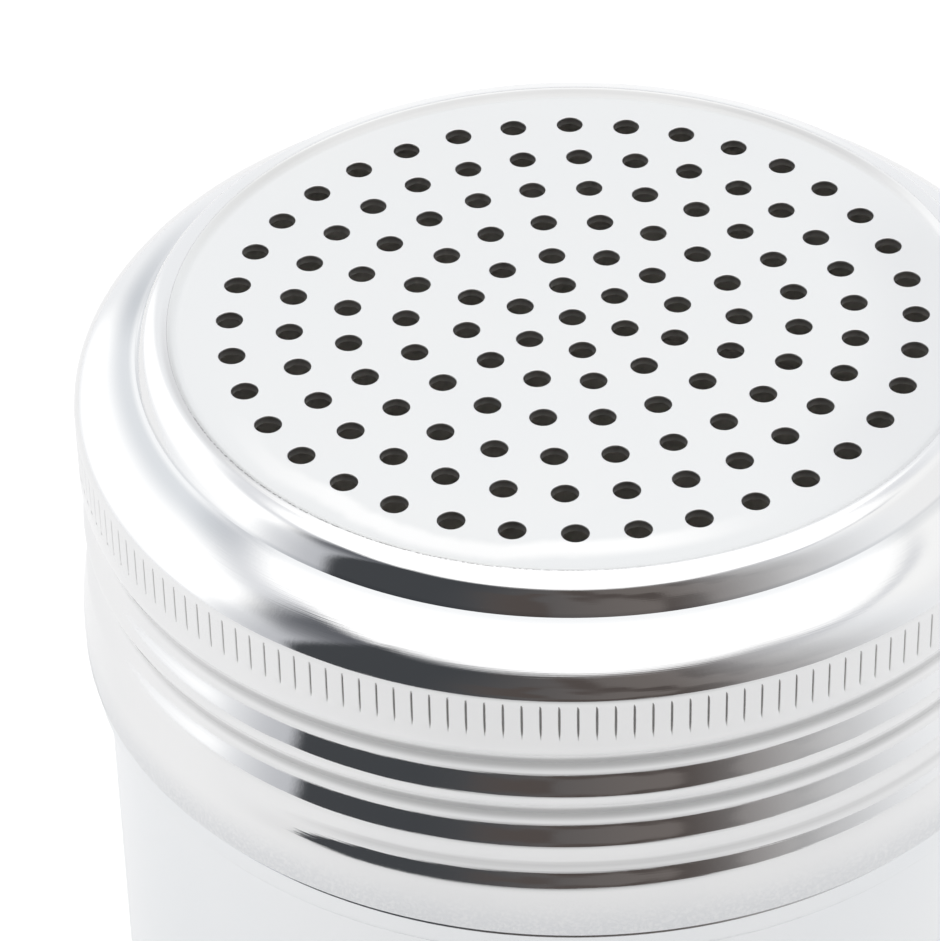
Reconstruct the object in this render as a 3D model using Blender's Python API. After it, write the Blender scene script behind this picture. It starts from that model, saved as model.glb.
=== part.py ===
# Perforated stainless shaker: a straight drawn can, closed by a screw ring that carries a
# perforated disc. Metres, +Z up, the can standing on the ground with its axis on Z.
# Angles round the axis are measured from -Y (the front) towards +X. Drops are depths
# below the crest of the lid.

import math

import bmesh
import bpy
from mathutils import Matrix

# Whole shaker
shaker_height = 0.095

# Can
can_radius = 0.035
can_sheet = 0.0006
can_corner_radius = 0.003
neck_ramp = 0.0008
mouth_gap = 0.0004

# Ridge round the can that the lid's edge comes down to: its face, its flanks and how far it stands out
stop_width = 0.0018
stop_flank = 0.0005
stop_depth = 0.00105
stop_gap = 0.0004

# Screw ring: sheet, widths across the shoulder, and drops
ring_sheet = 0.00045
shoulder_width = 0.00459
bead_width = 0.00243
crease_drop = 0.00213
knurl_drop = 0.0059
thread_start_drop = 0.0094
flare_start_drop = 0.0186
band_drop = 0.0243
ring_depth = 0.0263
band_step = 0.00055
lip_round = 0.00018
seat_width = 0.0018

# Screw thread, rolled into the ring and the neck of the can alike
thread_pitch = 0.0045
groove_depth = 0.00075
groove_slack = 0.0001
groove_power = 1.58
thread_gap = 0.00042
first_groove_drop = 0.0121

# Its last turn is shallower, narrower and a little higher
last_turn_start = 450
last_turn_run = 200
last_turn_depth_share = 0.45
last_turn_width_share = 0.7
last_turn_lift = 0.00044

# Perforated disc
disc_sheet = 0.0006
disc_drop = 0.0004
disc_rim_width = 0.0012
disc_rim_rise = 0.0003
seat_gap = 0.0003
hole_radius = 0.00096
hole_field_margin = 0.00409

# Radii of the rings of holes as shares of the outermost one, each ring with six more
# holes than the one inside it, and the angle of each ring's first hole from +X
hole_ring_shares = (0.162, 0.313, 0.485, 0.659, 0.825, 1.0)
hole_ring_phases = (-19.9, 11.0, 0.0, -4.6, 4.4, 0.3)
holes_added_per_ring = 6

# The disc's rim curves up to the ring: shares of its width and of its rise
rim_curve_shares = ((0.5, 0.2), (1, 1))

# Slopes of the shoulder's outline in degrees, and how far its curves reach
bead_start_slope = 14
bead_end_slope = 62
shoulder_start_slope = 26
shoulder_end_slope = 90
bead_reach_shares = (0.36, 0.36)
shoulder_reach_shares = (0.235, 0.292)

# Angles in degrees from the front, down the helix, where the grooves run in and out
ring_groove_start = -80
ring_groove_end = 765
can_groove_end = 800
groove_run_out = 30

# Fineness of the faceted solids
columns = 48
hole_sides = 8
bead_steps = 4
shoulder_steps = 7
corner_steps = 4
thread_rows = 19
sharp_angle = 40
weld_share = 0.01  # of the lip's rounding

# Fits worked out from the sizes above
thread_radius = can_radius + thread_gap + ring_sheet
crease_radius = thread_radius - shoulder_width
lip_radius = crease_radius - bead_width
edge_radius = thread_radius + band_step
seat_drop = disc_drop + disc_sheet + seat_gap
disc_radius = lip_radius - seat_gap
hole_field_radius = disc_radius - hole_field_margin
can_groove_depth = groove_depth + groove_slack
neck_radius = can_radius - can_groove_depth


def clear_scene():
    for thing in list(bpy.data.objects):
        bpy.data.objects.remove(thing, do_unlink=True)


def steel(name, colour, roughness):
    material = bpy.data.materials.new(name)
    material.use_nodes = True
    shader = material.node_tree.nodes["Principled BSDF"]
    shader.inputs["Base Color"].default_value = (*colour, 1)
    shader.inputs["Roughness"].default_value = roughness
    shader.inputs["Metallic"].default_value = 1
    return material


def smooth_step(value):
    value = min(max(value, 0), 1)
    return value * value * (3 - 2 * value)


def curve_between(start, start_slope, end, end_slope, reach_shares, steps):
    """Points of a cubic curve from start to end, in (radius, drop), slopes in degrees below level."""
    chord = math.dist(start, end)
    first, last = math.radians(start_slope), math.radians(end_slope)
    reach_out, reach_in = (share * chord for share in reach_shares)
    pull_out = (start[0] + reach_out * math.cos(first), start[1] + reach_out * math.sin(first))
    pull_in = (end[0] - reach_in * math.cos(last), end[1] - reach_in * math.sin(last))
    points = []
    for step in range(steps + 1):
        t = step / steps
        weights = ((1 - t) ** 3, 3 * (1 - t) ** 2 * t, 3 * (1 - t) * t**2, t**3)
        corners = (start, pull_out, pull_in, end)
        points.append(tuple(sum(w * c[axis] for w, c in zip(weights, corners)) for axis in (0, 1)))
    return points


def inside_of(points, sheet):
    """The same outline moved one sheet inwards, square to itself."""
    moved = []
    for index, (radius, drop) in enumerate(points):
        before = points[max(index - 1, 0)]
        after = points[min(index + 1, len(points) - 1)]
        run, fall = after[0] - before[0], after[1] - before[1]
        length = math.hypot(run, fall)
        moved.append((radius - sheet * fall / length, drop + sheet * run / length))
    return moved


def drop_at(points, radius):
    """Drop of an outline at a radius, between its points."""
    for (r0, d0), (r1, d1) in zip(points, points[1:]):
        if r0 <= radius <= r1:
            return d0 + (d1 - d0) * (radius - r0) / (r1 - r0)
    return points[-1][1]


def groove_share(angle, drop, start, end):
    """1 in the bottom of the helical groove and 0 on its crests, fading where it runs in and out."""
    turn = (drop - first_groove_drop) / thread_pitch + angle / 360
    whole_turn = round(turn)
    down_helix = whole_turn * 360 - angle
    last = smooth_step((down_helix - last_turn_start) / last_turn_run)
    off_centre = (turn - whole_turn) * thread_pitch + last * last_turn_lift
    width = thread_pitch * (1 - last * (1 - last_turn_width_share))
    if abs(off_centre) >= width / 2:
        return 0
    fade = smooth_step((end - down_helix) / groove_run_out) * (1 - last * (1 - last_turn_depth_share))
    if start is not None:
        fade *= smooth_step((down_helix - start) / groove_run_out)
    return fade * math.cos(math.pi * off_centre / width) ** groove_power


def ring_wall_radius(drop):
    """Outer radius of the ring's skirt between the grooves."""
    ramp = smooth_step((drop - flare_start_drop) / (band_drop - flare_start_drop))
    return thread_radius + ramp * band_step


def can_wall_radius(drop):
    """Outer radius of the can's neck and wall between the grooves."""
    ramp = min(max((drop - thread_start_drop) / neck_ramp, 0), 1)
    return neck_radius + ramp * (can_radius - neck_radius)


def ring_sink(angle, drop):
    return groove_depth * groove_share(angle, drop, ring_groove_start, ring_groove_end)


def can_sink(angle, drop):
    groove = can_groove_depth * groove_share(angle, drop, None, can_groove_end)
    return max(groove - (can_radius - can_wall_radius(drop)), 0)


def thread_drops():
    """Even steps down the thread, from its start to the plain band below it."""
    fall = band_drop - thread_start_drop
    return [thread_start_drop + fall * row / thread_rows for row in range(thread_rows + 1)]


def shoulder_outline():
    """Outside of the ring's bead and shoulder, from the lip to the top of the knurled band."""
    bead = curve_between(
        (lip_radius + lip_round, 0),
        bead_start_slope,
        (crease_radius, crease_drop),
        bead_end_slope,
        bead_reach_shares,
        bead_steps,
    )
    shoulder = curve_between(
        (crease_radius, crease_drop),
        shoulder_start_slope,
        (thread_radius, knurl_drop),
        shoulder_end_slope,
        shoulder_reach_shares,
        shoulder_steps,
    )
    return bead + shoulder[1:]


def ring_section():
    """Closed outline of the ring: outside down, inside up, then the seat and the lip."""
    top = shoulder_outline()
    skirt = [(ring_wall_radius(drop), drop) for drop in thread_drops()]
    outside = [(lip_radius, lip_round)] + top + skirt + [(edge_radius, ring_depth)]
    wall_radius = lip_radius + ring_sheet
    under = [point for point in inside_of(top, ring_sheet) if point[0] > wall_radius + lip_round]
    inside = [(radius - ring_sheet, drop) for radius, drop in skirt]
    inside = [*reversed(inside), *reversed(under[:-1])]
    seat = [
        (wall_radius, under[0][1]),
        (wall_radius, seat_drop + ring_sheet),
        (lip_radius - seat_width, seat_drop + ring_sheet),
        (lip_radius - seat_width, seat_drop),
        (lip_radius, seat_drop),
    ]
    return outside + [(edge_radius - ring_sheet, ring_depth)] + inside + seat


def stop_ridge():
    """Outside of the ridge under the lid's edge, with a little of the wall above and below it."""
    face_top = ring_depth + stop_gap
    face_end = face_top + stop_width
    return [
        (can_radius, face_top - 2 * stop_flank),
        (can_radius, face_top - stop_flank),
        (can_radius + stop_depth, face_top),
        (can_radius + stop_depth, face_end),
        (can_radius, face_end + stop_flank),
        (can_radius, face_end + 2 * stop_flank),
    ]


def can_section():
    """Outline of the can from the middle of its floor, inside up, over the rim and outside down."""
    mouth_drop = drop_at(inside_of(shoulder_outline(), ring_sheet), neck_radius) + mouth_gap
    wall = [(can_wall_radius(drop), drop) for drop in thread_drops()]
    outside = [(neck_radius, mouth_drop), *wall]
    corner_centre = (can_radius - can_corner_radius, shaker_height - can_corner_radius)
    corner = []
    for step in range(corner_steps + 1):
        turn = math.pi / 2 * step / corner_steps
        corner.append((math.cos(turn), math.sin(turn)))
    outer_corner = [
        (corner_centre[0] + can_corner_radius * x, corner_centre[1] + can_corner_radius * y)
        for x, y in corner
    ]
    inner_radius = can_corner_radius - can_sheet
    inner_corner = [
        (corner_centre[0] + inner_radius * x, corner_centre[1] + inner_radius * y)
        for x, y in corner
    ]
    ridge = stop_ridge()
    inside = [(radius - can_sheet, drop) for radius, drop in outside]
    inside += inside_of(ridge, can_sheet) + inner_corner
    floor_top, floor_bottom = (0, shaker_height - can_sheet), (0, shaker_height)
    return [floor_top, *reversed(inside), *outside, *ridge, *outer_corner, floor_bottom]


def spun_object(name, section, sink, material, closed):
    """Turns a section in (radius, drop) about Z and sinks its grooves."""
    mesh_maker = bmesh.new()
    verts = [mesh_maker.verts.new((0, -radius, shaker_height - drop)) for radius, drop in section]
    edges = [mesh_maker.edges.new(pair) for pair in zip(verts, verts[1:])]
    if closed:
        edges.append(mesh_maker.edges.new((verts[-1], verts[0])))
    bmesh.ops.spin(
        mesh_maker,
        geom=verts + edges,
        cent=(0, 0, 0),
        axis=(0, 0, 1),
        angle=2 * math.pi,
        steps=columns,
        use_merge=True,
    )
    bmesh.ops.remove_doubles(mesh_maker, verts=mesh_maker.verts[:], dist=weld_share * lip_round)
    for vert in mesh_maker.verts:
        radius = math.hypot(vert.co.x, vert.co.y)
        angle = math.degrees(math.atan2(vert.co.x, -vert.co.y))
        depth = sink(angle, shaker_height - vert.co.z)
        if depth > 0:
            vert.co.x *= 1 - depth / radius
            vert.co.y *= 1 - depth / radius
    return finished_object(name, mesh_maker, material)


def disc_object(name, material):
    """Flat plate with its holes, filled between their rims, with a raised rim and its thickness."""
    mesh_maker = bmesh.new()
    flat_radius = disc_radius - disc_rim_width
    outline = bmesh.ops.create_circle(mesh_maker, radius=flat_radius, segments=columns)["verts"]
    rim_edges = list({edge for vert in outline for edge in vert.link_edges})
    for x, y in hole_places():
        place = Matrix.Translation((x, y, 0))
        bmesh.ops.create_circle(mesh_maker, radius=hole_radius, segments=hole_sides, matrix=place)
    bmesh.ops.triangle_fill(mesh_maker, edges=mesh_maker.edges[:], use_beauty=True)
    for width_share, rise_share in rim_curve_shares:
        grown = bmesh.ops.extrude_edge_only(mesh_maker, edges=rim_edges)["geom"]
        rim_edges = [part for part in grown if isinstance(part, bmesh.types.BMEdge)]
        rim_radius = flat_radius + width_share * disc_rim_width
        for vert in {vert for edge in rim_edges for vert in edge.verts}:
            vert.co *= rim_radius / math.hypot(vert.co.x, vert.co.y)
            vert.co.z = rise_share * disc_rim_rise
    raised = bmesh.ops.extrude_face_region(mesh_maker, geom=mesh_maker.faces[:])
    lifted = [part for part in raised["geom"] if isinstance(part, bmesh.types.BMVert)]
    bmesh.ops.translate(mesh_maker, verts=lifted, vec=(0, 0, disc_sheet))
    bottom = shaker_height - disc_drop - disc_sheet
    bmesh.ops.translate(mesh_maker, verts=mesh_maker.verts[:], vec=(0, 0, bottom))
    return finished_object(name, mesh_maker, material)


def hole_places():
    """One hole in the middle, then rings of 6, 12, 18 and so on."""
    places = [(0, 0)]
    for index, (share, phase) in enumerate(zip(hole_ring_shares, hole_ring_phases)):
        count = holes_added_per_ring * (index + 1)
        for hole in range(count):
            angle = math.radians(phase + 360 * hole / count)
            radius = share * hole_field_radius
            places.append((radius * math.cos(angle), radius * math.sin(angle)))
    return places


def finished_object(name, mesh_maker, material):
    bmesh.ops.recalc_face_normals(mesh_maker, faces=mesh_maker.faces[:])
    mesh = bpy.data.meshes.new(name)
    mesh_maker.to_mesh(mesh)
    mesh_maker.free()
    mesh.materials.append(material)
    mesh.shade_smooth()
    mesh.set_sharp_from_angle(angle=math.radians(sharp_angle))
    made = bpy.data.objects.new(name, mesh)
    bpy.context.scene.collection.objects.link(made)
    return made


def carry(name, parent, *pieces):
    """An empty on the axis at the lid's crest, which carries the pieces that move with it."""
    empty = bpy.data.objects.new(name, None)
    empty.empty_display_size = can_radius
    bpy.context.scene.collection.objects.link(empty)
    empty.location = (0, 0, 0) if parent else (0, 0, shaker_height)
    empty.parent = parent
    for piece in pieces:
        piece.data.transform(Matrix.Translation((0, 0, -shaker_height)))
        piece.parent = empty
    return empty


def build():
    clear_scene()
    drawn = steel("drawn_steel", (0.70, 0.71, 0.71), 0.22)
    polished = steel("polished_steel", (0.78, 0.78, 0.78), 0.08)
    satin = steel("satin_steel", (0.74, 0.74, 0.73), 0.38)
    spun_object("can", can_section(), can_sink, drawn, closed=False)
    ring = spun_object("screw_ring", ring_section(), ring_sink, polished, closed=True)
    disc = disc_object("perforated_disc", satin)
    lid_rise = carry("lid_rise", None, disc)
    carry("lid_turn", lid_rise, ring)


build()
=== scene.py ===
import math

import bmesh
import bpy
from mathutils import Matrix, Vector


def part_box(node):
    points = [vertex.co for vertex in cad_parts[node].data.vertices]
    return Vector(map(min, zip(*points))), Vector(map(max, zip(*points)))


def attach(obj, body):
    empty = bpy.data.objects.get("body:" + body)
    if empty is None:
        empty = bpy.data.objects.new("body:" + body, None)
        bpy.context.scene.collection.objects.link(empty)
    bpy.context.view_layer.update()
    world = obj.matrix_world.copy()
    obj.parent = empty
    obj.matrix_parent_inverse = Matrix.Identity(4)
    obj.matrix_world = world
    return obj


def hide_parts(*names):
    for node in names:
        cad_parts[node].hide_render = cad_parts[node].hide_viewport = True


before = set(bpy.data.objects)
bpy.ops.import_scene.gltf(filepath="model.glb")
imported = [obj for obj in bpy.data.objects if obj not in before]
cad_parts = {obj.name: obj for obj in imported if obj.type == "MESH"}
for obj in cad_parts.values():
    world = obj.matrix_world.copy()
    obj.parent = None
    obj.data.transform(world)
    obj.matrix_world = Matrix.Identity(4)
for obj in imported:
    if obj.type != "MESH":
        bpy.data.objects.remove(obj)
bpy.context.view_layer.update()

# Metres, +Z up, front towards -Y. Angles round the shaker run from the front towards +X.
# Drops are depths below the crest of the lid.
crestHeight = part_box("screw_ring")[1].z
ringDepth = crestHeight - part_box("screw_ring")[0].z
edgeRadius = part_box("screw_ring")[1].x
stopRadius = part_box("can")[1].x


def smoothStep(value):
    value = min(max(value, 0), 1)
    return value * value * (3 - 2 * value)


def blend(points, weights):
    return tuple(sum(w * point[axis] for w, point in zip(weights, points)) for axis in (0, 1))


def curveBetween(start, startSlope, end, endSlope, reachShares, steps):
    # a cubic from start to end in (radius, drop), slopes in degrees below level
    chord = math.dist(start, end)
    first, last = math.radians(startSlope), math.radians(endSlope)
    reachOut, reachIn = (share * chord for share in reachShares)
    pullOut = (start[0] + reachOut * math.cos(first), start[1] + reachOut * math.sin(first))
    pullIn = (end[0] - reachIn * math.cos(last), end[1] - reachIn * math.sin(last))
    corners = (start, pullOut, pullIn, end)
    shares = [step / steps for step in range(steps + 1)]
    return [blend(corners, ((1 - t) ** 3, 3 * (1 - t) ** 2 * t, 3 * (1 - t) * t ** 2, t ** 3)) for t in shares]


def arcPoints(centre, radius, startAngle, endAngle, steps):
    # an arc in (radius, drop), angles in degrees from +radius towards +drop
    points = []
    for step in range(steps + 1):
        angle = math.radians(startAngle + (endAngle - startAngle) * step / steps)
        points.append((centre[0] + radius * math.cos(angle), centre[1] + radius * math.sin(angle)))
    return points


def softCorner(before, corner, after, reach, steps):
    # a rounded corner that starts and ends one reach away from it
    ends = []
    for point in (before, after):
        share = reach / math.dist(corner, point)
        ends.append(blend((corner, point), (1 - share, share)))
    corners = (ends[0], corner, ends[1])
    shares = [step / steps for step in range(steps + 1)]
    return [blend(corners, ((1 - t) ** 2, 2 * t * (1 - t), t ** 2)) for t in shares]


def insetOutline(points, sheet):
    # the same outline one sheet further in, square to itself
    moved = []
    for index, (radius, drop) in enumerate(points):
        before, after = points[max(index - 1, 0)], points[min(index + 1, len(points) - 1)]
        run, fall = after[0] - before[0], after[1] - before[1]
        length = math.hypot(run, fall)
        moved.append((radius - sheet * fall / length, drop + sheet * run / length))
    return moved


def spinOutline(runs, columns, closed):
    # runs of (radius, drop) points turned about Z, each with 1 for an inside face or 0
    maker = bmesh.new()
    insides = maker.verts.layers.float.new("inside")
    verts = []
    for points, inside in runs:
        for radius, drop in points:
            vert = maker.verts.new((0, -radius, crestHeight - drop))
            vert[insides] = inside
            verts.append(vert)
    edges = [maker.edges.new(pair) for pair in zip(verts, verts[1:])]
    if closed:
        edges.append(maker.edges.new((verts[-1], verts[0])))
    bmesh.ops.spin(
        maker, geom=verts + edges, cent=(0, 0, 0), axis=(0, 0, 1),
        angle=2 * math.pi, steps=columns, use_merge=True,
    )
    bmesh.ops.remove_doubles(maker, verts=maker.verts[:], dist=1e-7)
    return maker


def frontAngle(point):
    return math.degrees(math.atan2(point.x, -point.y))


def finishPiece(name, maker, material, body, node, sharpAngle):
    bmesh.ops.recalc_face_normals(maker, faces=maker.faces[:])
    mesh = bpy.data.meshes.new(name)
    maker.to_mesh(mesh)
    maker.free()
    mesh.materials.append(material)
    mesh.shade_smooth()
    mesh.set_sharp_from_angle(angle=math.radians(sharpAngle))
    piece = bpy.data.objects.new(name, mesh)
    bpy.context.scene.collection.objects.link(piece)
    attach(piece, body)
    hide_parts(node)
    print("made", name, "with", sum(len(face.vertices) - 2 for face in mesh.polygons), "triangles")
    return piece


class NodeBench:
    # short ways to add and wire the nodes of one tree

    def __init__(self, tree):
        self.tree = tree

    def add(self, kind, inputs=(), **settings):
        node = self.tree.nodes.new(kind)
        for name, value in settings.items():
            setattr(node, name, value)
        for socket, value in dict(inputs).items():
            self.feed(node.inputs[socket], value)
        return node

    def feed(self, socket, value):
        if isinstance(value, bpy.types.NodeSocket):
            self.tree.links.new(value, socket)
        else:
            socket.default_value = value

    def math(self, operation, *values):
        return self.add("ShaderNodeMath", enumerate(values), operation=operation).outputs[0]

    def product(self, *values):
        result = values[0]
        for value in values[1:]:
            result = self.math("MULTIPLY", result, value)
        return result

    def fade(self, value, low, high, toLow=0.0, toHigh=1.0):
        # a smooth change of value from toLow to toHigh
        node = self.add("ShaderNodeMapRange", interpolation_type="SMOOTHSTEP")
        for socket, number in enumerate((value, low, high, toLow, toHigh)):
            self.feed(node.inputs[socket], number)
        return node.outputs[0]

    def window(self, value, start, full, fullEnd, end):
        # 1 between full and fullEnd, fading to 0 at start and end
        return self.product(self.fade(value, start, full), self.fade(value, end, fullEnd))

    def mix(self, factor, first, second):
        # first and second are colour sockets or (red, green, blue)
        node = self.add("ShaderNodeMix", data_type="RGBA")
        self.feed(node.inputs[0], factor)
        for socket, colour in ((6, first), (7, second)):
            self.feed(node.inputs[socket], (*colour, 1) if isinstance(colour, tuple) else colour)
        return node.outputs[2]

    def attribute(self, name):
        return self.add("ShaderNodeAttribute", attribute_name=name).outputs["Fac"]

    def noise(self, place, scale, detail):
        return self.add("ShaderNodeTexNoise", {"Vector": place, "Scale": scale, "Detail": detail}).outputs[0]


def newGroup(name, inputs, outputs):
    group = bpy.data.node_groups.new(name, "ShaderNodeTree")
    for label, value in inputs:
        socket = group.interface.new_socket(name=label, in_out="INPUT", socket_type="NodeSocketFloat")
        socket.default_value = value
    for label in outputs:
        group.interface.new_socket(name=label, in_out="OUTPUT", socket_type="NodeSocketFloat")
    bench = NodeBench(group)
    return group, bench, bench.add("NodeGroupInput").outputs, bench.add("NodeGroupOutput").inputs


def placeGroup():
    # where a point lies on the shaker: radius, angle from the front in degrees, and drop
    group, bench, entry, leave = newGroup("shakerPlace", [], ["Radius", "Angle", "Drop"])
    parts = bench.add("ShaderNodeSeparateXYZ", {0: bench.add("ShaderNodeTexCoord").outputs["Object"]}).outputs
    square = bench.math("ADD", bench.product(parts[0], parts[0]), bench.product(parts[1], parts[1]))
    bench.feed(leave["Radius"], bench.math("SQRT", square))
    turn = bench.math("ARCTAN2", parts[0], bench.math("MULTIPLY", parts[1], -1.0))
    bench.feed(leave["Angle"], bench.math("DEGREES", turn))
    bench.feed(leave["Drop"], bench.math("SUBTRACT", crestHeight, parts[2]))
    return group


grain = {
    "inputs": [("Line Density", 9000.0), ("Line Length", 0.06), ("Smudge Scale", 60.0), ("Speck Scale", 4000.0)],
    "lineDetail": 3.0,
    "smudgeDetail": 5.0,
    "speckDetail": 2.0,
}


def grainGroup(place):
    # lines left by turning round the axis, soft smudges, and fine specks
    group, bench, entry, leave = newGroup("turnedGrain", grain["inputs"], ["Lines", "Smudges", "Specks"])
    spot = bench.add("ShaderNodeGroup", node_tree=place).outputs
    along = bench.product(spot["Angle"], entry["Line Length"])
    across = bench.product(bench.math("ADD", spot["Radius"], spot["Drop"]), entry["Line Density"])
    flat = bench.add("ShaderNodeCombineXYZ", {0: along, 1: across}).outputs[0]
    objectPlace = bench.add("ShaderNodeTexCoord").outputs["Object"]
    bench.feed(leave["Lines"], bench.noise(flat, 1.0, grain["lineDetail"]))
    bench.feed(leave["Smudges"], bench.noise(objectPlace, entry["Smudge Scale"], grain["smudgeDetail"]))
    bench.feed(leave["Specks"], bench.noise(objectPlace, entry["Speck Scale"], grain["speckDetail"]))
    return group


steel = {
    "colourSmudges": (0.35, 0.65),
    "roughSmudges": (0.3, 0.7),
    "insideRoughness": 0.5,
    "insideMetallic": 0.5,
}


def steelMaterial(name, look, groups, addShadeAndWear):
    # one steel finish: colour and roughness follow the smudges, lines and specks lift the surface,
    # and inside faces are duller
    material = bpy.data.materials.new(name)
    material.use_nodes = True
    bench = NodeBench(material.node_tree)
    shader = material.node_tree.nodes["Principled BSDF"]
    texture = bench.add("ShaderNodeGroup", {"Smudge Scale": look["smudgeScale"]}, node_tree=groups["grain"])
    lines, smudges, specks = (texture.outputs[label] for label in ("Lines", "Smudges", "Specks"))
    spot = bench.add("ShaderNodeGroup", node_tree=groups["place"]).outputs
    colour = bench.mix(bench.fade(smudges, *steel["colourSmudges"]), look["colour"], look["smudgeColour"])
    rough = bench.fade(smudges, *steel["roughSmudges"], *look["roughness"])
    height = bench.math(
        "ADD", bench.product(lines, look["lineHeight"]), bench.product(specks, look["speckHeight"]),
    )
    # mixes in each piece's painted shade and painted highlights, and on some pieces real wear and dirt
    colour, rough, height = addShadeAndWear(bench, spot, (smudges, specks), (colour, rough, height))
    inside = bench.attribute("inside")
    colour = bench.mix(inside, colour, look["insideColour"])
    rough = bench.math("MAXIMUM", rough, bench.product(inside, steel["insideRoughness"]))
    bench.feed(shader.inputs["Metallic"], bench.fade(inside, 0.0, 1.0, 1.0, steel["insideMetallic"]))
    bump = bench.add("ShaderNodeBump", {"Strength": 1.0, "Distance": look["bumpDistance"], "Height": height})
    bench.feed(shader.inputs["Base Color"], colour)
    bench.feed(shader.inputs["Roughness"], rough)
    bench.feed(shader.inputs["Normal"], bump.outputs[0])
    return material


ring = {
    "sheet": 0.00045,
    "threadRadius": 0.03587,
    "shoulderWidth": 0.00459,
    "beadWidth": 0.00238,
    "creaseDrop": 0.00213,
    "knurlDrop": 0.0059,
    "flareDrop": 0.0186,
    "bandDrop": 0.0243,
    "edgeRound": 0.00012,
    "lipRound": 0.00001,
    "lipWall": 0.0007,
    "seatWidth": 0.0018,
    "seatDrop": 0.00108,
    "beadSlopes": (8, 66),
    "beadReachShares": (0.5, 0.5),
    "beadSteps": 14,
    "shoulderSlopes": (26, 90),
    "shoulderReachShares": (0.235, 0.292),
    "shoulderSteps": 16,
    "columnsPerMark": 4,
    "edgeSteps": 4,
    "underEvery": 3,
    "innerEvery": 4,
    "sharpAngle": 28,
    "look": {
        "colour": (0.89, 0.89, 0.89), "smudgeColour": (0.87, 0.872, 0.875), "insideColour": (0.95, 0.93, 0.9),
        "roughness": (0.045, 0.075), "smudgeScale": 90.0,
        "lineHeight": 1.8, "speckHeight": 0.6, "bumpDistance": 0.0000015,
    },
}
lipRadius = ring["threadRadius"] - ring["shoulderWidth"] - ring["beadWidth"]

knurl = {
    "marks": 180,
    "firstMarkAngle": 0.4,
    "startDrop": 0.00592,
    "endDrop": 0.0091,
    "depth": 0.00012,
    "halfWidthAngle": 0.16,
    "depthShares": (0.0, 0.95, 1.0, 1.0, 1.0, 1.0, 1.0, 1.0, 0.95, 0.85, 0.7, 0.45, 0.0),
    "rowSlack": 0.125,
}

thread = {
    "startDrop": 0.0094,
    "pitch": 0.0045,
    "depth": 0.00075,
    "power": 1.58,
    "firstGrooveDrop": 0.0121,
    "startAngle": -80,
    "endAngle": 771,
    "runOut": 30,
    "lastTurnStart": 450,
    "lastTurnRun": 200,
    "lastTurnDepthShare": 0.45,
    "lastTurnWidthShare": 0.7,
    "lastTurnLift": 0.00044,
    "rows": 46,
    "steepest": 0.3,
    "shadeLag": 0.00062,
    "shadeSteps": 20,
}


def grooveShare(angle, drop):
    turn = (drop - thread["firstGrooveDrop"]) / thread["pitch"] + angle / 360
    downHelix = round(turn) * 360 - angle
    last = smoothStep((downHelix - thread["lastTurnStart"]) / thread["lastTurnRun"])
    offCentre = (turn - round(turn)) * thread["pitch"] + last * thread["lastTurnLift"]
    width = thread["pitch"] * (1 - last * (1 - thread["lastTurnWidthShare"]))
    if abs(offCentre) >= width / 2:
        return 0
    fade = smoothStep((thread["endAngle"] - downHelix) / thread["runOut"])
    fade *= smoothStep((downHelix - thread["startAngle"]) / thread["runOut"])
    fade *= 1 - last * (1 - thread["lastTurnDepthShare"])
    return fade * math.cos(math.pi * offCentre / width) ** thread["power"]


def underShadeShare(angle, drop):
    # how far the wall leans out over the groove below it, 1 where it leans most; this places the painted shade
    # under the thread ridges
    step = thread["pitch"] / thread["shadeSteps"]
    drop -= thread["shadeLag"]
    return max(grooveShare(angle, drop + step) - grooveShare(angle, drop - step), 0) / thread["steepest"]


def threadDrops(rows):
    fall = ring["bandDrop"] - thread["startDrop"]
    return [thread["startDrop"] + fall * row / rows for row in range(rows + 1)]


def knurlDrops():
    rows = len(knurl["depthShares"]) - 1
    span = knurl["endDrop"] - knurl["startDrop"]
    return [knurl["startDrop"] + span * row / rows for row in range(rows + 1)]


def ringWallRadius(drop):
    share = smoothStep((drop - ring["flareDrop"]) / (ring["bandDrop"] - ring["flareDrop"]))
    return ring["threadRadius"] + share * (edgeRadius - ring["threadRadius"])


def ringOutline():
    creaseRadius = ring["threadRadius"] - ring["shoulderWidth"]
    lipRound, sheet, edgeRound, steps = ring["lipRound"], ring["sheet"], ring["edgeRound"], ring["edgeSteps"]
    lip = [(lipRadius, ring["lipWall"])]
    lip += arcPoints((lipRadius + lipRound, lipRound), lipRound, 180, 270 + ring["beadSlopes"][0], steps)
    crease = (creaseRadius, ring["creaseDrop"])
    bead = curveBetween(
        lip[-1], ring["beadSlopes"][0], crease, ring["beadSlopes"][1],
        ring["beadReachShares"], ring["beadSteps"],
    )
    shoulder = curveBetween(
        crease, ring["shoulderSlopes"][0], (ring["threadRadius"], ring["knurlDrop"]), ring["shoulderSlopes"][1],
        ring["shoulderReachShares"], ring["shoulderSteps"],
    )
    skirt = [(ringWallRadius(drop), drop) for drop in knurlDrops() + threadDrops(thread["rows"])]
    edge = arcPoints((edgeRadius - edgeRound, ringDepth - edgeRound), edgeRound, 0, 90, steps)
    edge += arcPoints((edgeRadius - sheet + edgeRound, ringDepth - edgeRound), edgeRound, 90, 180, steps)
    outside = lip + bead[1:] + shoulder[1:] + skirt + edge

    under = [point for point in insetOutline(bead + shoulder[1:], sheet)[::ring["underEvery"]]
             if point[0] > lipRadius + sheet + lipRound]
    innerSkirt = [(radius - sheet, drop) for radius, drop in skirt[::ring["innerEvery"]]]
    seat = [
        (lipRadius + sheet, under[0][1]),
        (lipRadius + sheet, ring["seatDrop"] + sheet),
        (lipRadius - ring["seatWidth"], ring["seatDrop"] + sheet),
        (lipRadius - ring["seatWidth"], ring["seatDrop"]),
        (lipRadius, ring["seatDrop"]),
    ]
    return [(outside, 0.0), (innerSkirt[::-1] + under[::-1] + seat, 1.0)]


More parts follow.
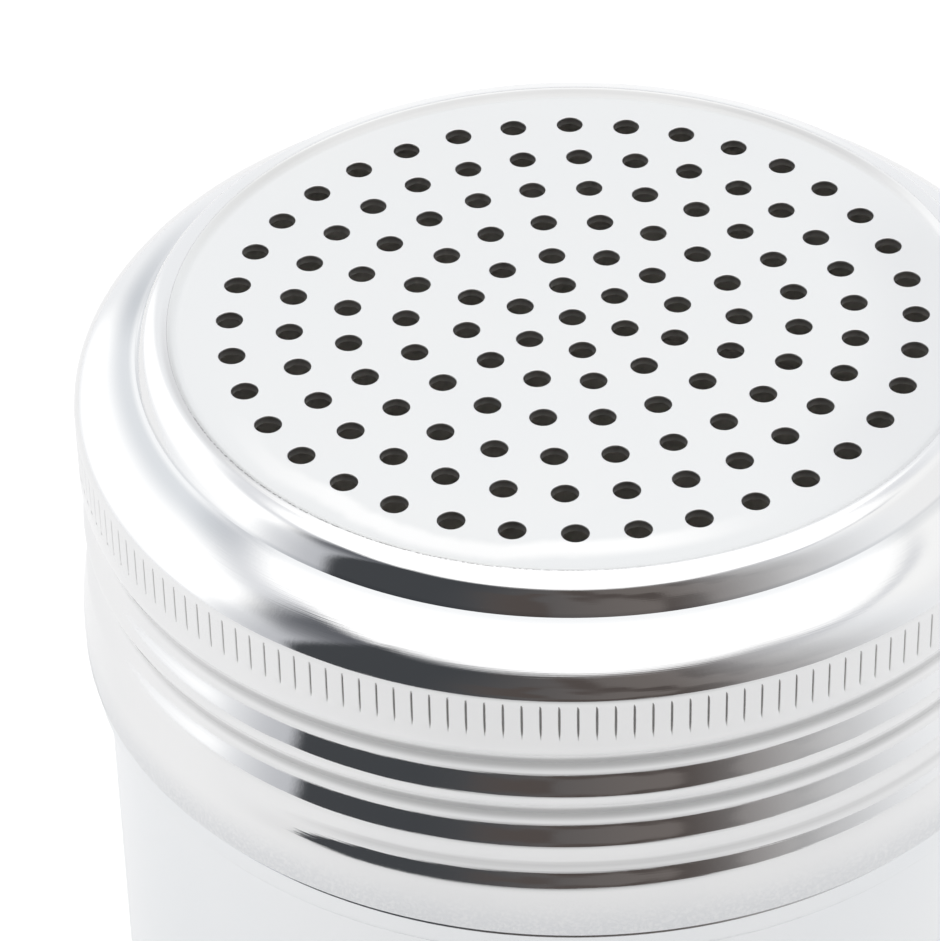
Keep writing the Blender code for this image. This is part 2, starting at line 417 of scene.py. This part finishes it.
def pressKnurl(maker):
    # narrows the columns beside each mark and sinks the one in its middle
    masks = maker.verts.layers.float.new("markDepth")
    drops = knurlDrops()
    rowStep = drops[1] - drops[0]
    columnStep = 360 / knurl["marks"] / ring["columnsPerMark"]
    for vert in maker.verts:
        drop = crestHeight - vert.co.z
        radius = math.hypot(vert.co.x, vert.co.y)
        row = round((drop - drops[0]) / rowStep)
        if radius < ring["threadRadius"] - ring["sheet"] / 2 or not 0 <= row < len(drops):
            continue
        if abs(drop - drops[row]) > rowStep * knurl["rowSlack"]:
            continue
        column = round((frontAngle(vert.co) - knurl["firstMarkAngle"]) / columnStep)
        beside = (column + 1) % ring["columnsPerMark"] - 1
        if abs(beside) > 1:
            continue
        middle = knurl["firstMarkAngle"] + (column - beside) * columnStep
        angle = math.radians(middle + beside * knurl["halfWidthAngle"])
        share = 0 if beside else knurl["depthShares"][row]
        radius -= share * knurl["depth"]
        vert.co.x, vert.co.y = radius * math.sin(angle), -radius * math.cos(angle)
        vert[masks] = share


def makeScrewRing(groups):
    maker = spinOutline(ringOutline(), knurl["marks"] * ring["columnsPerMark"], closed=True)
    turn = Matrix.Rotation(math.radians(knurl["firstMarkAngle"]), 3, "Z")
    bmesh.ops.rotate(maker, verts=maker.verts[:], cent=(0, 0, 0), matrix=turn)
    # the under attribute holds where painted shade goes under the thread ridges
    underShades = maker.verts.layers.float.new("under")
    for vert in maker.verts:
        drop = crestHeight - vert.co.z
        if thread["startDrop"] <= drop < ring["bandDrop"]:
            radius = math.hypot(vert.co.x, vert.co.y)
            vert[underShades] = underShadeShare(frontAngle(vert.co), drop)
            sink = thread["depth"] * grooveShare(frontAngle(vert.co), drop)
            vert.co.x *= 1 - sink / radius
            vert.co.y *= 1 - sink / radius
    pressKnurl(maker)
    material = steelMaterial("polishedRingSteel", ring["look"], groups, paintRingShadeAndWear)
    return finishPiece(
        "ringShell", maker, material, "lid_ring", "screw_ring", ring["sharpAngle"],
    )


# ring colours: painted shade in the knurl marks, under the thread ridges and along the crease; real satin finish
# and mottling on the bands
ringShadeAndWear = {
    "markFade": (0.1, 0.55),
    "markShadeColour": (0.13, 0.12, 0.115),
    "underFade": (0.25, 0.95),
    "underAngles": (-85.0, -15.0, 15.0, 85.0),
    "underShadeShare": 0.65,
    "underShadeColour": (0.25, 0.25, 0.25),
    "creaseDrops": (0.0018, 0.00208, 0.00218, 0.0025),
    "creaseShadeShare": 0.45,
    "leftCreaseDrops": (0.00205, 0.0024, 0.0025, 0.0035),
    "leftCreaseAngles": (-130.0, -95.0, -52.0, -38.0),
    "leftCreaseShadeShare": 0.95,
    "creaseShadeColour": (0.565, 0.585, 0.61),
    "knurledDrops": (0.0056, 0.0062, 0.0092, 0.0104),
    "knurledShare": 0.4,
    "knurledColour": (0.87, 0.87, 0.87),
    "plainDrops": (0.0215, 0.0235),
    "satinRoughness": 0.15,
    "mottleDrops": (0.0225, 0.026),
    "mottleSpecks": (0.3, 0.6, 0.5, 1.0),
    "mottleColour": (0.745, 0.755, 0.77),
    "mottleHeight": 1.5,
}


def paintRingShadeAndWear(bench, spot, texture, surface):
    # dark painted shade in the knurl marks, grey painted shade under the thread ridges, grey painted shade along
    # the crease (deeper at the left), satin bands and a mottled lower band
    smudges, specks = texture
    colour, rough, height = surface
    paintTable, drop, angle = ringShadeAndWear, spot["Drop"], spot["Angle"]
    # painted shade: the middle of each knurl mark is darkened
    marks = bench.fade(bench.attribute("markDepth"), *paintTable["markFade"])
    colour = bench.mix(marks, colour, paintTable["markShadeColour"])
    # painted shade: grey on the walls that lean out over the thread grooves
    under = bench.fade(bench.attribute("under"), *paintTable["underFade"])
    under = bench.product(under, bench.window(angle, *paintTable["underAngles"]), paintTable["underShadeShare"])
    colour = bench.mix(under, colour, paintTable["underShadeColour"])
    # painted shade along the crease, darker and wider at the left
    crease = bench.product(bench.window(drop, *paintTable["creaseDrops"]), paintTable["creaseShadeShare"])
    leftCreaseShade = bench.product(
        bench.window(drop, *paintTable["leftCreaseDrops"]), bench.window(angle, *paintTable["leftCreaseAngles"]),
        paintTable["leftCreaseShadeShare"],
    )
    colour = bench.mix(bench.math("MAXIMUM", crease, leftCreaseShade), colour, paintTable["creaseShadeColour"])
    knurled = bench.window(drop, *paintTable["knurledDrops"])
    plain = bench.fade(drop, *paintTable["plainDrops"])
    satin = bench.math("MAXIMUM", knurled, plain)
    rough = bench.math("ADD", rough, bench.product(satin, paintTable["satinRoughness"]))
    colour = bench.mix(bench.product(knurled, paintTable["knurledShare"]), colour, paintTable["knurledColour"])
    mottle = bench.product(
        bench.fade(drop, *paintTable["mottleDrops"]), bench.fade(specks, *paintTable["mottleSpecks"]),
    )
    colour = bench.mix(mottle, colour, paintTable["mottleColour"])
    height = bench.math("ADD", height, bench.product(plain, specks, paintTable["mottleHeight"]))
    return seamDirt(bench, spot, specks, (colour, rough, height))


seamStains = {
    "topDrops": (0.002, 0.001),
    "stainReach": (-0.0005, -0.0001, 0.0002, 0.0006),
    "stainAngles": (-100.0, -72.0, -52.0, -30.0),
    "stainShare": 0.22,
    "lineReach": (-0.00016, -0.00005, 0.00002, 0.0001),
    "lineAngles": (-80.0, -58.0, -24.0, 25.0),
    "lineSpecks": (0.36, 0.62),
    "lineShare": 0.7,
    "colour": (0.13, 0.12, 0.12),
}


def seamDirt(bench, spot, specks, surface):
    # a soft stain and a fine broken line where the disc meets the ring, at the left and the front
    colour, rough, height = surface
    onTop = bench.fade(spot["Drop"], *seamStains["topDrops"])
    shares = []
    for kind in ("stain", "line"):
        reach = [lipRadius + offset for offset in seamStains[kind + "Reach"]]
        shares.append(bench.product(
            bench.window(spot["Radius"], *reach), onTop,
            bench.window(spot["Angle"], *seamStains[kind + "Angles"]), seamStains[kind + "Share"],
        ))
    shares[1] = bench.product(shares[1], bench.fade(specks, *seamStains["lineSpecks"]))
    return bench.mix(bench.math("MAXIMUM", *shares), colour, seamStains["colour"]), rough, height


disc = {
    "sheet": 0.0006,
    "drop": 0.0004,
    "rimWidth": 0.0009,
    "rimTopDrop": 0.00001,
    "rimCurveShares": ((0.2, 0.03), (0.4, 0.15), (0.6, 0.42), (0.8, 0.76), (1.0, 1.0)),
    "edgeGap": 0.000007,
    "columns": 360,
    "holeRadius": 0.00096,
    "holeSides": 28,
    "holeRound": 0.00007,
    "holeFieldRadius": 0.02446,
    "ringShares": (0.162, 0.313, 0.485, 0.659, 0.825, 1.0),
    "ringPhases": (-19.9, 11.0, 0.0, -4.6, 4.4, 0.3),
    "addedPerRing": 6,
    "bevelSegments": 2,
    "sharpAngle": 20,
    "look": {
        "colour": (0.862, 0.866, 0.862), "smudgeColour": (0.848, 0.855, 0.855), "insideColour": (0.6, 0.59, 0.57),
        "roughness": (0.3, 0.36), "smudgeScale": 70.0,
        "lineHeight": 0.3, "speckHeight": 1.0, "bumpDistance": 0.000002,
    },
}


def holePlaces():
    places = [(0, 0)]
    for index, (share, phase) in enumerate(zip(disc["ringShares"], disc["ringPhases"])):
        count = disc["addedPerRing"] * (index + 1)
        for hole in range(count):
            angle = math.radians(phase + 360 * hole / count)
            radius = share * disc["holeFieldRadius"]
            places.append((radius * math.cos(angle), radius * math.sin(angle)))
    return places


def makePerforatedDisc(groups):
    maker = bmesh.new()
    insides = maker.verts.layers.float.new("inside")
    discRadius = lipRadius - disc["edgeGap"]
    flatRadius = discRadius - disc["rimWidth"]
    rimRise = disc["drop"] - disc["rimTopDrop"]
    outline = bmesh.ops.create_circle(maker, radius=flatRadius, segments=disc["columns"])["verts"]
    rimEdges = list({edge for vert in outline for edge in vert.link_edges})
    for x, y in holePlaces():
        bmesh.ops.create_circle(
            maker, radius=disc["holeRadius"], segments=disc["holeSides"], matrix=Matrix.Translation((x, y, 0)),
        )
    bmesh.ops.triangle_fill(maker, edges=maker.edges[:], use_beauty=True)
    for widthShare, riseShare in disc["rimCurveShares"]:
        grown = bmesh.ops.extrude_edge_only(maker, edges=rimEdges)["geom"]
        rimEdges = [part for part in grown if isinstance(part, bmesh.types.BMEdge)]
        rimRadius = flatRadius + widthShare * disc["rimWidth"]
        for vert in {vert for edge in rimEdges for vert in edge.verts}:
            vert.co *= rimRadius / math.hypot(vert.co.x, vert.co.y)
            vert.co.z = riseShare * rimRise
    for vert in maker.verts:
        vert[insides] = 1.0
    raised = bmesh.ops.extrude_face_region(maker, geom=maker.faces[:])
    lifted = [part for part in raised["geom"] if isinstance(part, bmesh.types.BMVert)]
    bmesh.ops.translate(maker, verts=lifted, vec=(0, 0, disc["sheet"]))
    for vert in lifted:
        vert[insides] = 0.0
    bmesh.ops.recalc_face_normals(maker, faces=maker.faces[:])
    holeEdges = [edge for edge in maker.edges if edge.calc_face_angle(0) > 1
                 and all(vert[insides] == 0 and vert.co.xy.length < flatRadius for vert in edge.verts)]
    bmesh.ops.bevel(
        maker, geom=holeEdges, offset=disc["holeRound"], offset_type="OFFSET", affect="EDGES",
        segments=disc["bevelSegments"], profile=0.5, material=-1,
    )
    bottom = crestHeight - disc["drop"] - disc["sheet"]
    bmesh.ops.translate(maker, verts=maker.verts[:], vec=(0, 0, bottom))
    material = steelMaterial("satinDiscSteel", disc["look"], groups, paintDiscShadeAndDirt)
    return finishPiece(
        "discPlate", maker, material, "lid_plate", "perforated_disc", disc["sharpAngle"],
    )


# disc colours: a painted highlight and painted shade, placed by where light falls
discShading = {
    "unevenSmudges": (0.35, 0.65, -0.0006, 0.0006),
    "marginRadii": (0.0255, 0.0263, 0.0269, 0.0279),
    "marginAngles": (-70.0, -28.0, 8.0, 34.0),
    "marginHighlightColour": (0.98, 0.975, 0.965),
    "rimAngles": (95, 140),
    "rimRadii": (0.0279, 0.0283, 0.0287, lipRadius),
    "rimShadeColour": (0.69, 0.69, 0.688),
    "rightAngles": (30, 60, 105, 135),
    "rightRadii": (0.019, 0.025),
    "rightShadeShare": 0.8,
    "rightShadeColour": (0.8, 0.805, 0.81),
    "wallDrops": (disc["drop"] + 0.00007, disc["drop"] + 0.0002, 0.0009, 0.00098),
    "wallShadeColour": (0.36, 0.35, 0.34),
}


def paintDiscShadeAndDirt(bench, spot, texture, surface):
    # painted highlight on the margin at the front, painted shade on the rim behind and on the right side, and
    # dark painted shade on the hole walls
    smudges, specks = texture
    colour, rough, height = surface
    paintTable, radius, angle = discShading, spot["Radius"], spot["Angle"]
    # painted highlight: a lighter margin at the front, its edge moved by the smudges
    uneven = bench.math("ADD", radius, bench.fade(smudges, *paintTable["unevenSmudges"]))
    marginHighlight = bench.window(uneven, *paintTable["marginRadii"])
    marginHighlight = bench.product(marginHighlight, bench.window(angle, *paintTable["marginAngles"]))
    colour = bench.mix(marginHighlight, colour, paintTable["marginHighlightColour"])
    # painted shade on the rim behind the disc
    behind = bench.fade(bench.math("ABSOLUTE", angle), *paintTable["rimAngles"])
    rimShade = bench.product(behind, bench.window(radius, *paintTable["rimRadii"]))
    colour = bench.mix(rimShade, colour, paintTable["rimShadeColour"])
    # painted shade on the right side of the disc
    right = bench.product(
        bench.window(angle, *paintTable["rightAngles"]), bench.fade(radius, *paintTable["rightRadii"]),
        paintTable["rightShadeShare"],
    )
    colour = bench.mix(right, colour, paintTable["rightShadeColour"])
    # painted shade on the hole walls and the lower part of the disc's outer edge
    colour = bench.mix(bench.window(spot["Drop"], *paintTable["wallDrops"]), colour, paintTable["wallShadeColour"])
    return seamDirt(bench, spot, specks, (colour, rough, height))


can = {
    "radius": 0.035,
    "sheet": 0.0006,
    "cornerRadius": 0.003,
    "neckSink": 0.00085,
    "neckRamp": 0.0008,
    "mouthDrop": 0.0046,
    "stopGap": 0.0004,
    "stopWidth": 0.0018,
    "stopFlank": 0.0005,
    "stopRounds": (0.0002, 0.00018, 0.0004, 0.0003),
    "stopSteps": 5,
    "cornerSteps": (10, 6),
    "columns": 180,
    "rows": 36,
    "sharpAngle": 40,
    "look": {
        "colour": (0.876, 0.886, 0.896), "smudgeColour": (0.861, 0.876, 0.891), "insideColour": (0.95, 0.93, 0.9),
        "roughness": (0.14, 0.2), "smudgeScale": 50.0,
        "lineHeight": 0.5, "speckHeight": 0.3, "bumpDistance": 0.0000015,
    },
}


def canWallRadius(drop):
    ramp = min(max((drop - thread["startDrop"]) / can["neckRamp"], 0), 1)
    return can["radius"] - can["neckSink"] * (1 - ramp)


def stopOutline():
    # the ridge under the lid's edge, with rounded corners
    faceTop = ringDepth + can["stopGap"]
    faceEnd = faceTop + can["stopWidth"]
    flank, wall = can["stopFlank"], can["radius"]
    corners = [
        (wall, faceTop - 2 * flank), (wall, faceTop - flank), (stopRadius, faceTop),
        (stopRadius, faceEnd), (wall, faceEnd + flank), (wall, faceEnd + 2 * flank),
    ]
    points = [corners[0]]
    for before, corner, after, reach in zip(corners, corners[1:], corners[2:], can["stopRounds"]):
        points += softCorner(before, corner, after, reach, can["stopSteps"])
    return points + [corners[-1]], insetOutline(corners, can["sheet"])


def canOutline():
    wall = [(can["radius"] - can["neckSink"], can["mouthDrop"])]
    wall += [(canWallRadius(drop), drop) for drop in threadDrops(can["rows"])]
    stop, innerStop = stopOutline()
    centre = (can["radius"] - can["cornerRadius"], crestHeight - can["cornerRadius"])
    outerSteps, innerSteps = can["cornerSteps"]
    outerCorner = arcPoints(centre, can["cornerRadius"], 0, 90, outerSteps)
    innerCorner = arcPoints(centre, can["cornerRadius"] - can["sheet"], 0, 90, innerSteps)
    inner = [(radius - can["sheet"], drop) for radius, drop in wall] + innerStop + innerCorner
    floorTop, floorBottom = (0, crestHeight - can["sheet"]), (0, crestHeight)
    return [([floorTop] + inner[::-1], 1.0), (wall + stop + outerCorner + [floorBottom], 0.0)]


def makeCan(groups):
    maker = spinOutline(canOutline(), can["columns"], closed=False)
    for vert in maker.verts:
        drop = crestHeight - vert.co.z
        if thread["startDrop"] < drop < ring["bandDrop"]:
            radius = math.hypot(vert.co.x, vert.co.y)
            sink = can["neckSink"] * grooveShare(frontAngle(vert.co), drop)
            sink -= can["radius"] - canWallRadius(drop)
            if sink > 0:
                vert.co.x *= 1 - sink / radius
                vert.co.y *= 1 - sink / radius
    material = steelMaterial("drawnCanSteel", can["look"], groups, paintCanShade)
    return finishPiece("canShell", maker, material, "shaker_can", "can", can["sharpAngle"])


# can colours: painted shade in the gap under the lid's edge and along the lower end of the ridge
canShading = {
    "gapDrops": (0.0245, 0.0252, ringDepth + 0.0003, ringDepth + 0.00045),
    "gapShare": 0.85,
    "gapColour": (0.16, 0.15, 0.14),
    "ridgeEndDrops": (0.0284, 0.0287, 0.0288, 0.0291),
    "ridgeEndShare": 0.6,
    "ridgeEndColour": (0.55, 0.56, 0.58),
}


def paintCanShade(bench, spot, texture, surface):
    # painted shade: the gap under the lid's edge and the lower end of the ridge are darker
    colour, rough, height = surface
    for place in ("gap", "ridgeEnd"):
        stain = bench.window(spot["Drop"], *canShading[place + "Drops"])
        stain = bench.product(stain, canShading[place + "Share"])
        colour = bench.mix(stain, colour, canShading[place + "Colour"])
    return colour, rough, height


studio = {
    "tent": (0.95, 0.962, 0.98),
    "backGlow": (1.06, 1.065, 1.07),
    "rightTent": (0.965, 0.965, 0.965),
    "rightTop": (1.04, 1.04, 1.035),
    "rightLine": (0.7, 0.71, 0.74),
    "overhead": (1.25, 1.25, 1.25),
    "sidePanel": (1.25, 1.25, 1.25),
    "lowWing": (0.56, 0.57, 0.6),
    "highWing": (0.125, 0.13, 0.145),
    "seam": (0.84, 0.85, 0.875),
    "darkRoom": (0.058, 0.062, 0.068),
    "warmRoom": (0.165, 0.146, 0.138),
    "warmPatch": (0.09, 0.076, 0.071),
}

# where the studio's shapes begin and end: angles round the shaker from the front, and angles above level
reach = {
    "seamRise": (44, 50),
    "rightRise": (30, 48),
    "rightAngles": (70, 95, 125, 150),
    "backGlowAngles": (166, 173),
    "backGlowRise": (-22, -15, 15, 25),
    "panelAngles": (-153, -145, -86, -74),
    "panelRise": (-14, 2, 41, 51),
    "wingSlant": (24, 54, 0, 15),
    "wingStart": (-83, -62),
    "wingEnd": (-50, -55),
    "wingRise": (12, 56),
    "lowerAtLeft": (-90, -106, 0, 4),
    "lowerAtRight": (52, 78, 0, 4.5),
    "lowerBehind": (148, 161, 0, 13),
    "overheadRise": (55, 61.5),
    "lineRise": (52.6, 54.4, 55.2, 57),
    "lineAngles": (56, 72, 108, 125),
    "lineShare": 0.85,
    "darkAngles": (-62.5, -57.5, 18, 85),
    "darkRise": (64.5, 54.5),
    "warmAngles": (-35, 22),
    "patchScales": (0.06, 0.035),
    "patchDetail": 1.5,
    "patchNoise": (0.46, 0.56),
    "patchAngles": (-28, -12),
}


def makeStudioWorld():
    # a white tent with a dark room in front of it, painted by direction
    world = bpy.data.worlds.new("softTent")
    bpy.context.scene.world = world
    world.use_nodes = True
    bench = NodeBench(world.node_tree)
    background = world.node_tree.nodes["Background"]
    look = bench.add("ShaderNodeTexCoord").outputs["Generated"]
    parts = bench.add("ShaderNodeSeparateXYZ", {0: look}).outputs
    azimuth = bench.math("DEGREES", bench.math("ARCTAN2", parts[0], bench.math("MULTIPLY", parts[1], -1.0)))
    rise = bench.math("DEGREES", bench.math("ARCSINE", parts[2]))

    # the tent, brighter at the right and straight behind, with a grey seam under the ceiling
    tent = bench.mix(bench.fade(rise, *reach["seamRise"]), studio["tent"], studio["seam"])
    rightTent = bench.mix(bench.fade(rise, *reach["rightRise"]), studio["rightTent"], studio["rightTop"])
    tent = bench.mix(bench.window(azimuth, *reach["rightAngles"]), tent, rightTent)
    behind = bench.math("ABSOLUTE", azimuth)
    glow = bench.product(
        bench.fade(behind, *reach["backGlowAngles"]), bench.window(rise, *reach["backGlowRise"]),
    )
    tent = bench.mix(glow, tent, studio["backGlow"])

    # a white panel on the left with a slanting grey wing
    panel = bench.product(bench.window(azimuth, *reach["panelAngles"]), bench.window(rise, *reach["panelRise"]))
    tent = bench.mix(panel, tent, studio["sidePanel"])
    slant = bench.fade(rise, *reach["wingSlant"])
    wing = bench.fade(bench.math("ADD", azimuth, slant), *reach["wingStart"])
    wing = bench.product(wing, bench.fade(azimuth, *reach["wingEnd"]))
    shade = bench.mix(bench.fade(rise, *reach["wingRise"]), studio["lowWing"], studio["highWing"])
    tent = bench.mix(wing, tent, shade)

    # the white ceiling, lower at the sides and behind, with a grey line along its right edge
    lower = bench.math(
        "ADD", bench.fade(azimuth, *reach["lowerAtLeft"]), bench.fade(azimuth, *reach["lowerAtRight"]),
    )
    lower = bench.math("MAXIMUM", lower, bench.fade(behind, *reach["lowerBehind"]))
    ceiling = bench.math("ADD", lower, rise)
    tent = bench.mix(bench.fade(ceiling, *reach["overheadRise"]), tent, studio["overhead"])
    edgeLine = bench.product(
        bench.window(ceiling, *reach["lineRise"]), bench.window(azimuth, *reach["lineAngles"]),
        reach["lineShare"],
    )
    tent = bench.mix(edgeLine, tent, studio["rightLine"])

    # dark room in front, hard at its left end and soft on the right, with warm shapes in it
    dark = bench.product(bench.window(azimuth, *reach["darkAngles"]), bench.fade(rise, *reach["darkRise"]))
    room = bench.mix(bench.fade(azimuth, *reach["warmAngles"]), studio["darkRoom"], studio["warmRoom"])
    across, along = reach["patchScales"]
    flat = bench.add("ShaderNodeCombineXYZ", {0: bench.product(azimuth, across), 1: bench.product(rise, along)})
    patches = bench.fade(bench.noise(flat.outputs[0], 1.0, reach["patchDetail"]), *reach["patchNoise"])
    patches = bench.product(patches, bench.fade(azimuth, *reach["patchAngles"]))
    room = bench.mix(patches, room, studio["warmPatch"])
    tent = bench.mix(dark, tent, room)

    camera = bench.add("ShaderNodeLightPath").outputs["Is Camera Ray"]
    bench.feed(background.inputs["Color"], bench.mix(camera, tent, (1, 1, 1)))


ground = {
    "radius": 0.45,
    "sides": 96,
    "colour": (0.88, 0.88, 0.88),
    "roughness": 0.9,
    "farColour": (0.42, 0.42, 0.42),
    "farRun": (-0.16, -0.44),
    "farWidth": (-0.3, -0.06, 0.06, 0.3),
    "glowRun": (-0.16, 0.0, 0.1, 0.2),
    "cameraGlow": 0.45,
}


def makeFloor():
    # pale floor, near white to the camera, and darker far in front of the shaker in its reflection
    maker = bmesh.new()
    bmesh.ops.create_circle(maker, cap_ends=True, radius=ground["radius"], segments=ground["sides"])
    mesh = bpy.data.meshes.new("paleFloor")
    maker.to_mesh(mesh)
    maker.free()
    material = bpy.data.materials.new("paleFloor")
    material.use_nodes = True
    bench = NodeBench(material.node_tree)
    shader = material.node_tree.nodes["Principled BSDF"]
    shader.inputs["Roughness"].default_value = ground["roughness"]
    shader.inputs["Emission Color"].default_value = (1, 1, 1, 1)
    parts = bench.add("ShaderNodeSeparateXYZ", {0: bench.add("ShaderNodeTexCoord").outputs["Object"]}).outputs
    light = bench.add("ShaderNodeLightPath").outputs
    glossy = light["Is Glossy Ray"]
    far = bench.product(
        bench.fade(parts[1], *ground["farRun"]), bench.window(parts[0], *ground["farWidth"]), glossy,
    )
    bench.feed(shader.inputs["Base Color"], bench.mix(far, ground["colour"], ground["farColour"]))
    glow = bench.product(bench.fade(parts[1], *ground["glowRun"]), glossy)
    glow = bench.math("ADD", glow, bench.product(light["Is Camera Ray"], ground["cameraGlow"]))
    bench.feed(shader.inputs["Emission Strength"], glow)
    mesh.materials.append(material)
    floor = bpy.data.objects.new("paleFloor", mesh)
    bpy.context.scene.collection.objects.link(floor)


view = {
    "distance": 0.33432,
    "elevation": 36.348,
    "lens": 179.375,
    "turn": 1.2613,
    "tilt": -1.8687,
    "roll": 0.3364,
}


def makeCamera():
    data = bpy.data.cameras.new("portrait")
    data.lens = view["lens"]
    camera = bpy.data.objects.new("portrait", data)
    bpy.context.scene.collection.objects.link(camera)
    rise = math.radians(view["elevation"])
    place = Vector((0, -math.cos(rise), math.sin(rise))) * view["distance"]
    ahead = -place.normalized()
    right = Vector((1, 0, 0))
    up = right.cross(ahead)
    for angle, axis in ((view["turn"], "up"), (view["tilt"], "right"), (view["roll"], "ahead")):
        spin = Matrix.Rotation(math.radians(angle), 3, {"up": up, "right": right, "ahead": ahead}[axis])
        right, up, ahead = spin @ right, spin @ up, spin @ ahead
    turned = Matrix((right, up, -ahead)).transposed().to_4x4()
    target = Vector((0, 0, crestHeight - disc["drop"]))
    camera.matrix_world = Matrix.Translation(place + target) @ turned
    bpy.context.scene.camera = camera


def main():
    bpy.context.scene.view_settings.view_transform = "Standard"
    place = placeGroup()
    groups = {"place": place, "grain": grainGroup(place)}
    makeCan(groups)
    makeScrewRing(groups)
    makePerforatedDisc(groups)
    makeStudioWorld()
    makeFloor()
    makeCamera()
    print("made the studio and the camera")


main()
